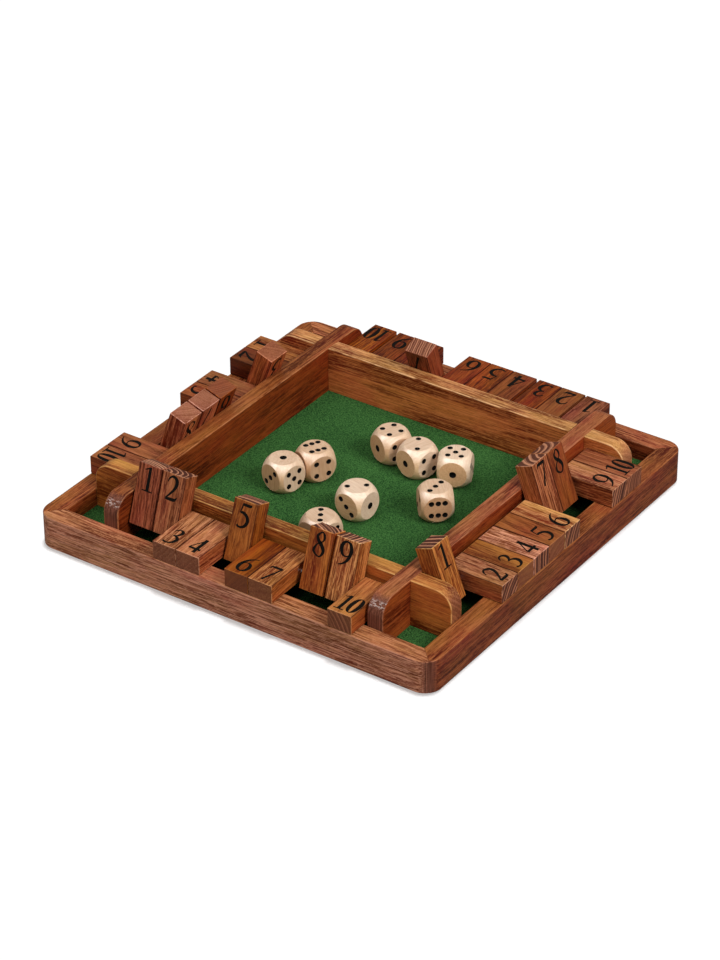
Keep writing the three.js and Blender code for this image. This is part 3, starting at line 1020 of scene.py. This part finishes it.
# Woods: the mean tones, and what the lightest and darkest wood make of one.
TONES = {
    "umber": "682c11", "mahogany": "6d2a0a", "ember": "6b3414", "russet": "772f0a", "chestnut": "793a22",
    "copper": "7d390a", "ginger": "7c3d1a", "rosewood": "824323", "walnut": "914e1e", "clay": "90512f",
    "honey": "945227", "straw": "a2532f", "blush": "9d5e29", "mauve": "a86141", "amber": "a86938",
}
LIGHTEN = (1.6, 1.95, 2.2)
DARKEN = (0.42, 0.24, 0.14)
# depth is how much painted shade a face that stands gets, and deep is the tint of that shade.
WOOD_LOOK = {
    "pitch": 2.6, "bands": 0.6, "streaks": 0.5, "figure": 0.5, "flecks": 0.7, "lines": 0.6, "marks": 0.0,
    "depth": 0.72, "deep": (0.80, 0.47, 0.26, 1), "wear": 0.9, "seed": 0.0,
}
LONG_LOOK = {
    "pitch": 3.0, "bands": 0.4, "streaks": 0.4, "figure": 1.3, "flecks": 0.7, "lines": 0.2, "wear": 0.5,
}
OUTER_LOOK = {**LONG_LOOK, "figure": 0.5, "bands": 0.3, "streaks": 0.3, "depth": 0.0}
CORNER_MARKS = {"south": 1.0, "east": -1.0}
# Where a rail or wall differs. Its depth and deep set the painted shade on its faces that stand.
RAIL_LOOKS = {"north": {"bands": 1.3, "streaks": 0.5, "pitch": 3.8, "deep": (0.60, 0.26, 0.13, 1)}}
WALL_LOOKS = {
    "south": {"figure": 1.6, "flecks": 0.4, "wear": 0.8, "depth": 0.6, "deep": (1.08, 0.55, 0.30, 1)},
    "east": {"marks": -1.0, "flecks": 0.6, "depth": 1.0},
    "north": {"figure": 2.2, "bands": 0.6, "streaks": 0.2, "flecks": 0.5, "wear": 0.9, "depth": 0.6,
              "deep": (1.12, 0.47, 0.24, 1)},
    "west": {"marks": 1.0, "flecks": 0.6, "wear": 0.9, "depth": 1.0, "deep": (0.67, 0.39, 0.25, 1)},
}

# A rail's top and its outer side, each a tone and a shade, and where the rail lay in its log. The outer
# side's tone is partly the wood's own and partly painted light, the light the floor would throw back on to
# it.
RAILS = {
    "south": ("clay", 1.0, "mauve", 1.0, (110, 60)),
    "east": ("ginger", 0.9, "umber", 1.1, (60, 95)),
    "north": ("rosewood", 1.15, "rosewood", 1.15, (-70, 80)),
    "west": ("ginger", 1.0, "ginger", 1.0, (90, -50)),
}
WALLS = {
    "south": ("blush", 0.95, (170, 35)),
    "east": ("rosewood", 0.95, (150, -40)),
    "north": ("amber", 0.95, (60, 70)),
    "west": ("ginger", 0.95, (-150, 30)),
}
RAIL_HEARTS = {side: look[4] for side, look in RAILS.items()}
WALL_HEARTS = {side: look[2] for side, look in WALLS.items()}
PANEL_HEART = (0, 40, 70)
RAIL_SEED = 50.5
WALL_SEED = 60.5
PANEL_SEED = 71.5

# Each tile's tone and shade, the way to the pith across its end (degrees, 0 to the right), how far
# off it lies in mm, the pitch of its rings in mm, how strongly they show on its end, and how fine
# the grain is, from a broad figure at 0 to hairs and dashes at 1.
TILES = {
    "south": (
        ("chestnut", 1.05, 80, 22, 2.6, 1, 1),
        ("clay", 0.85, 40, 12, 3.2, 1, 1),
        ("clay", 1, 135, 60, 2.6, 0.12, 1),
        ("clay", 1.15, 130, 50, 2.8, 0.1, 0.6),
        ("walnut", 0.95, 95, 30, 2.8, 1, 0.5),
        ("copper", 0.95, 140, 80, 2.8, 0.05, 0.15),
        ("honey", 1, 110, 70, 3.2, 0.05, 0.7),
        ("walnut", 1.15, 50, 28, 3, 1, 0.4),
        ("amber", 1, 5, 60, 3, 1, 1),
        ("honey", 1, 35, 30, 2.8, 0.4, 0.35),
    ),
    "east": (
        ("blush", 1.05, 10, 45, 5, 1, 0.5),
        ("clay", 0.95, 145, 40, 3.2, 0.9, 0.7),
        ("walnut", 0.9, 80, 90, 3.4, 0.05, 0.25),
        ("mauve", 1.05, 175, 70, 3.4, 1, 0.7),
        ("ginger", 1, 120, 60, 3, 0.15, 0.4),
        ("amber", 1.1, 155, 60, 3.2, 0.9, 0.3),
        ("clay", 1, 150, 22, 4.6, 0.8, 1),
        ("ginger", 1, -60, 14, 3.6, 0.7, 0.5),
        ("clay", 1.05, 165, 90, 3.2, 1, 1),
        ("rosewood", 0.9, 170, 16, 2.6, 0.55, 0.6),
    ),
    "north": (
        ("chestnut", 0.95, 60, 40, 2.6, 0.5, 0.6),
        ("ember", 1, 100, 50, 2.8, 0.5, 0.6),
        ("russet", 0.95, 20, 60, 3, 0.5, 0.6),
        ("umber", 1.1, 80, 40, 2.6, 0.5, 0.6),
        ("russet", 1, 140, 50, 3, 0.5, 0.6),
        ("mahogany", 1, 70, 80, 2.8, 0.5, 0.6),
        ("chestnut", 1, 10, 90, 1.5, 0.6, 0.6),
        ("mahogany", 1, 45, 50, 2.6, 0.5, 0.6),
        ("mahogany", 1, 100, 60, 2.8, 0.5, 0.6),
        ("copper", 1.05, 160, 70, 2.8, 0.5, 0.6),
    ),
    "west": (
        ("honey", 1, 60, 50, 2.8, 0.1, 0.4),
        ("umber", 0.85, 100, 40, 2.6, 0.1, 0.4),
        ("straw", 1, 30, 90, 1.4, 0.1, 0.4),
        ("rosewood", 0.9, 120, 60, 2.8, 0.1, 0.4),
        ("ginger", 1.15, 80, 50, 2.8, 0.1, 0.4),
        ("russet", 1.05, 70, 80, 1.6, 0.1, 0.4),
        ("mauve", 0.9, 20, 80, 1.5, 0.1, 0.4),
        ("mauve", 1.05, 60, 90, 1.4, 0.1, 0.4),
        ("rosewood", 1.05, 100, 60, 2.8, 0.1, 0.4),
        ("rosewood", 1.05, 60, 70, 2.8, 0.1, 0.4),
    ),
}


def tile_looks():
    draw = np.random.default_rng(5)
    looks = {}
    for index, side in enumerate(SIDES):
        looks[side] = []
        for i, (tone, shade, turn, far, pitch, lines, fine) in enumerate(TILES[side]):
            turn = math.radians(turn)
            heart = (far * math.cos(turn), far * math.sin(turn))
            lean = tuple(draw.uniform(-0.05, 0.05, 2))
            look = {"pitch": pitch, "lines": lines, "seed": 10 * index + i + 0.5}
            look.update(flecks=0.15 + 0.65 * fine, streaks=0.3 + 0.25 * fine, figure=1.1 - 0.5 * fine)
            looks[side].append((tone, shade, heart, lean, look))
    return looks


TILE_LOOKS = tile_looks()

joints = {joint["name"]: joint for joint in frame["joints"]}
rod_line = abs(joints["turn_south_1"]["pos_m"][1]) / MM
tile_reach = BOARD_REACH - rod_line

rail_woods = {}
wall_woods = {}
for index, side in enumerate(SIDES):
    top, top_shade, outside, outside_shade, _ = RAILS[side]
    tone, shade, _ = WALLS[side]
    seed = RAIL_SEED + index
    top_look = {**LONG_LOOK, **RAIL_LOOKS.get(side, {})}
    outer_look = {**OUTER_LOOK, "marks": CORNER_MARKS.get(side, 0.0)}
    # The outer side's wood carries painted light from the floor as well as its own tone.
    rail_woods[side] = [
        wood("rail_" + side + "_wood", top, top_shade, seed=seed, **top_look),
        wood("rail_" + side + "_outside", outside, outside_shade, seed=seed, **outer_look),
    ]
    wall_look = {**LONG_LOOK, **WALL_LOOKS[side]}
    wall_woods[side] = wood("wall_" + side + "_wood", tone, shade, seed=WALL_SEED + index, **wall_look)
make_rails(rail_woods)
make_walls(wall_woods, rod_line)
make_rods(steel_material(), rod_line)
make_felt(felt_material())
blank = tile_blank(tile_reach)
make_tiles(blank, tile_reach, ink_material())
bpy.data.objects.remove(blank)
make_dice([die_material(), pip_material()])

panel = frame["nodes"]["base_panel"]
panel.data.materials.clear()
panel.data.materials.append(wood("panel_wood", "chestnut", carried=True, seed=PANEL_SEED))


# Stage, light and camera. A sun has its way, its strength and its spread in degrees. A glint is a
# round lamp that only shines, with its way and its power.
SUNS = {
    "key": ((0.76, -0.08, 0.65), 2.2, 24),
    "top": ((-0.10, -0.20, 0.975), 1.16, 60),
    "fill": ((-0.10, -0.85, 0.52), 0.44, 60),
    "dice_fill": ((0.1, -0.9, 0.35), 0.7, 50),
    "floor_light": ((-0.03, 0.115, 1.0), 2.8, 8),
}
GLINTS = {"side_glint": ((-0.48, -0.53, 0.70), 60), "front_glint": ((0.35, -0.60, 0.72), 40)}
GLINT_DISTANCE = 2.0
GLINT_SIZE = 1.2
FLOOR_GLOW = 0.42


def make_floor():
    """A pale floor that glows a little, and that throws no light back on to the board."""
    bm = bmesh.new()
    bmesh.ops.create_grid(bm, x_segments=1, y_segments=1, size=5)
    floor = new_object("floor", mesh_from(bm, "floor"))
    material, net, shader = shader_of("floor_white")
    white = net.mix(net.noise(net.place(40), 1.0, 2), (0.60, 0.60, 0.60, 1), (0.62, 0.62, 0.62, 1))
    sockets = {"Base Color": white, "Roughness": 0.9, "Specular IOR Level": 0.0}
    sockets.update({"Emission Color": (1, 1, 1, 1), "Emission Strength": FLOOR_GLOW})
    net.dress(shader, sockets)
    floor.data.materials.append(material)
    floor.visible_diffuse = False
    floor.visible_glossy = False
    return floor


def dressed(*starts):
    """The dressed pieces whose names start with one of these."""
    named = [piece for piece in bpy.data.objects if piece.name.startswith(starts)]
    return [piece for piece in named if "dressed" in piece.name]


def lit(lamp, pieces, only):
    """The lamp lights only these pieces, or everything but them."""
    group = bpy.data.collections.new(lamp.name + "_lights")
    for piece in pieces:
        group.objects.link(piece)
    for link in group.collection_objects:
        link.light_linking.link_state = "INCLUDE" if only else "EXCLUDE"
    lamp.light_linking.receiver_collection = group


def make_lamp(name, kind, towards, power, distance=0.0, **settings):
    light = bpy.data.lights.new(name, kind)
    light.energy = power
    for key, value in settings.items():
        setattr(light, key, value)
    lamp = new_object(name, light)
    way = Vector(towards).normalized()
    lamp.location = way * distance
    lamp.rotation_euler = way.to_track_quat("Z", "Y").to_euler()
    return lamp


def make_sun(name):
    towards, strength, spread = SUNS[name]
    return make_lamp(name, "SUN", towards, strength, angle=math.radians(spread))


def make_world(dome, shine, below):
    """A white backdrop. Its dome lights the board at one level, and shines in it at another."""
    world = bpy.data.worlds.new("studio")
    world.use_nodes = True
    net = Net(world.node_tree)
    path = net.put("LightPath").outputs
    height = net.split(net.put("TexCoord").outputs["Generated"])["Z"]
    share = net.map(height, -0.12, 0.12)
    above = net.map(path["Is Glossy Ray"], 0.0, 1.0, dome, shine)
    tone = net.fused(share, net.math("SUBTRACT", above, below), below)
    tone = net.math("MAXIMUM", tone, path["Is Camera Ray"])
    background = world.node_tree.nodes["Background"]
    net.join(background.inputs["Color"], net.merge(tone, tone, tone))
    background.inputs["Strength"].default_value = 1.0
    bpy.context.scene.world = world


CAMERA_TURN = 34.647
CAMERA_TILT = 32.306
CAMERA_ROLL = -0.284
CAMERA_DISTANCE = 2338.05
CAMERA_AIM = (-22.8, 27.32, 0)
FOCAL_PIXELS = 3518.4
PHOTO_HEIGHT = 960


def make_camera():
    """The camera looks at its aim from a distance, over the board's front corner."""
    turn, tilt, roll = (math.radians(v) for v in (CAMERA_TURN, CAMERA_TILT, CAMERA_ROLL))
    data = bpy.data.cameras.new("camera")
    data.sensor_fit = "VERTICAL"
    data.sensor_height = 36
    data.lens = data.sensor_height * FOCAL_PIXELS / PHOTO_HEIGHT
    data.clip_start = 0.05
    data.clip_end = 50
    camera = new_object("camera", data)
    aimed = Matrix.Rotation(turn, 4, "Z") @ Matrix.Rotation(QUARTER - tilt, 4, "X")
    aimed = Matrix.Translation(Vector(CAMERA_AIM) * MM) @ aimed @ Matrix.Rotation(roll, 4, "Z")
    camera.matrix_world = aimed @ Matrix.Translation((0, 0, CAMERA_DISTANCE * MM))
    bpy.context.scene.camera = camera


floor = make_floor()
make_world(dome=0.15, shine=0.2, below=0.2)
for name in ("key", "top", "fill"):
    lit(make_sun(name), [floor], only=False)
lit(make_sun("dice_fill"), dressed("die_"), only=True)
for name, (towards, power) in GLINTS.items():
    glint = make_lamp(name, "AREA", towards, power, GLINT_DISTANCE, shape="DISK", size=GLINT_SIZE)
    glint.visible_diffuse = False
    lit(glint, dressed("die_", "rod_"), only=True)
lit(make_sun("floor_light"), [floor], only=True)
make_camera()
bpy.context.scene.view_settings.view_transform = "Standard"
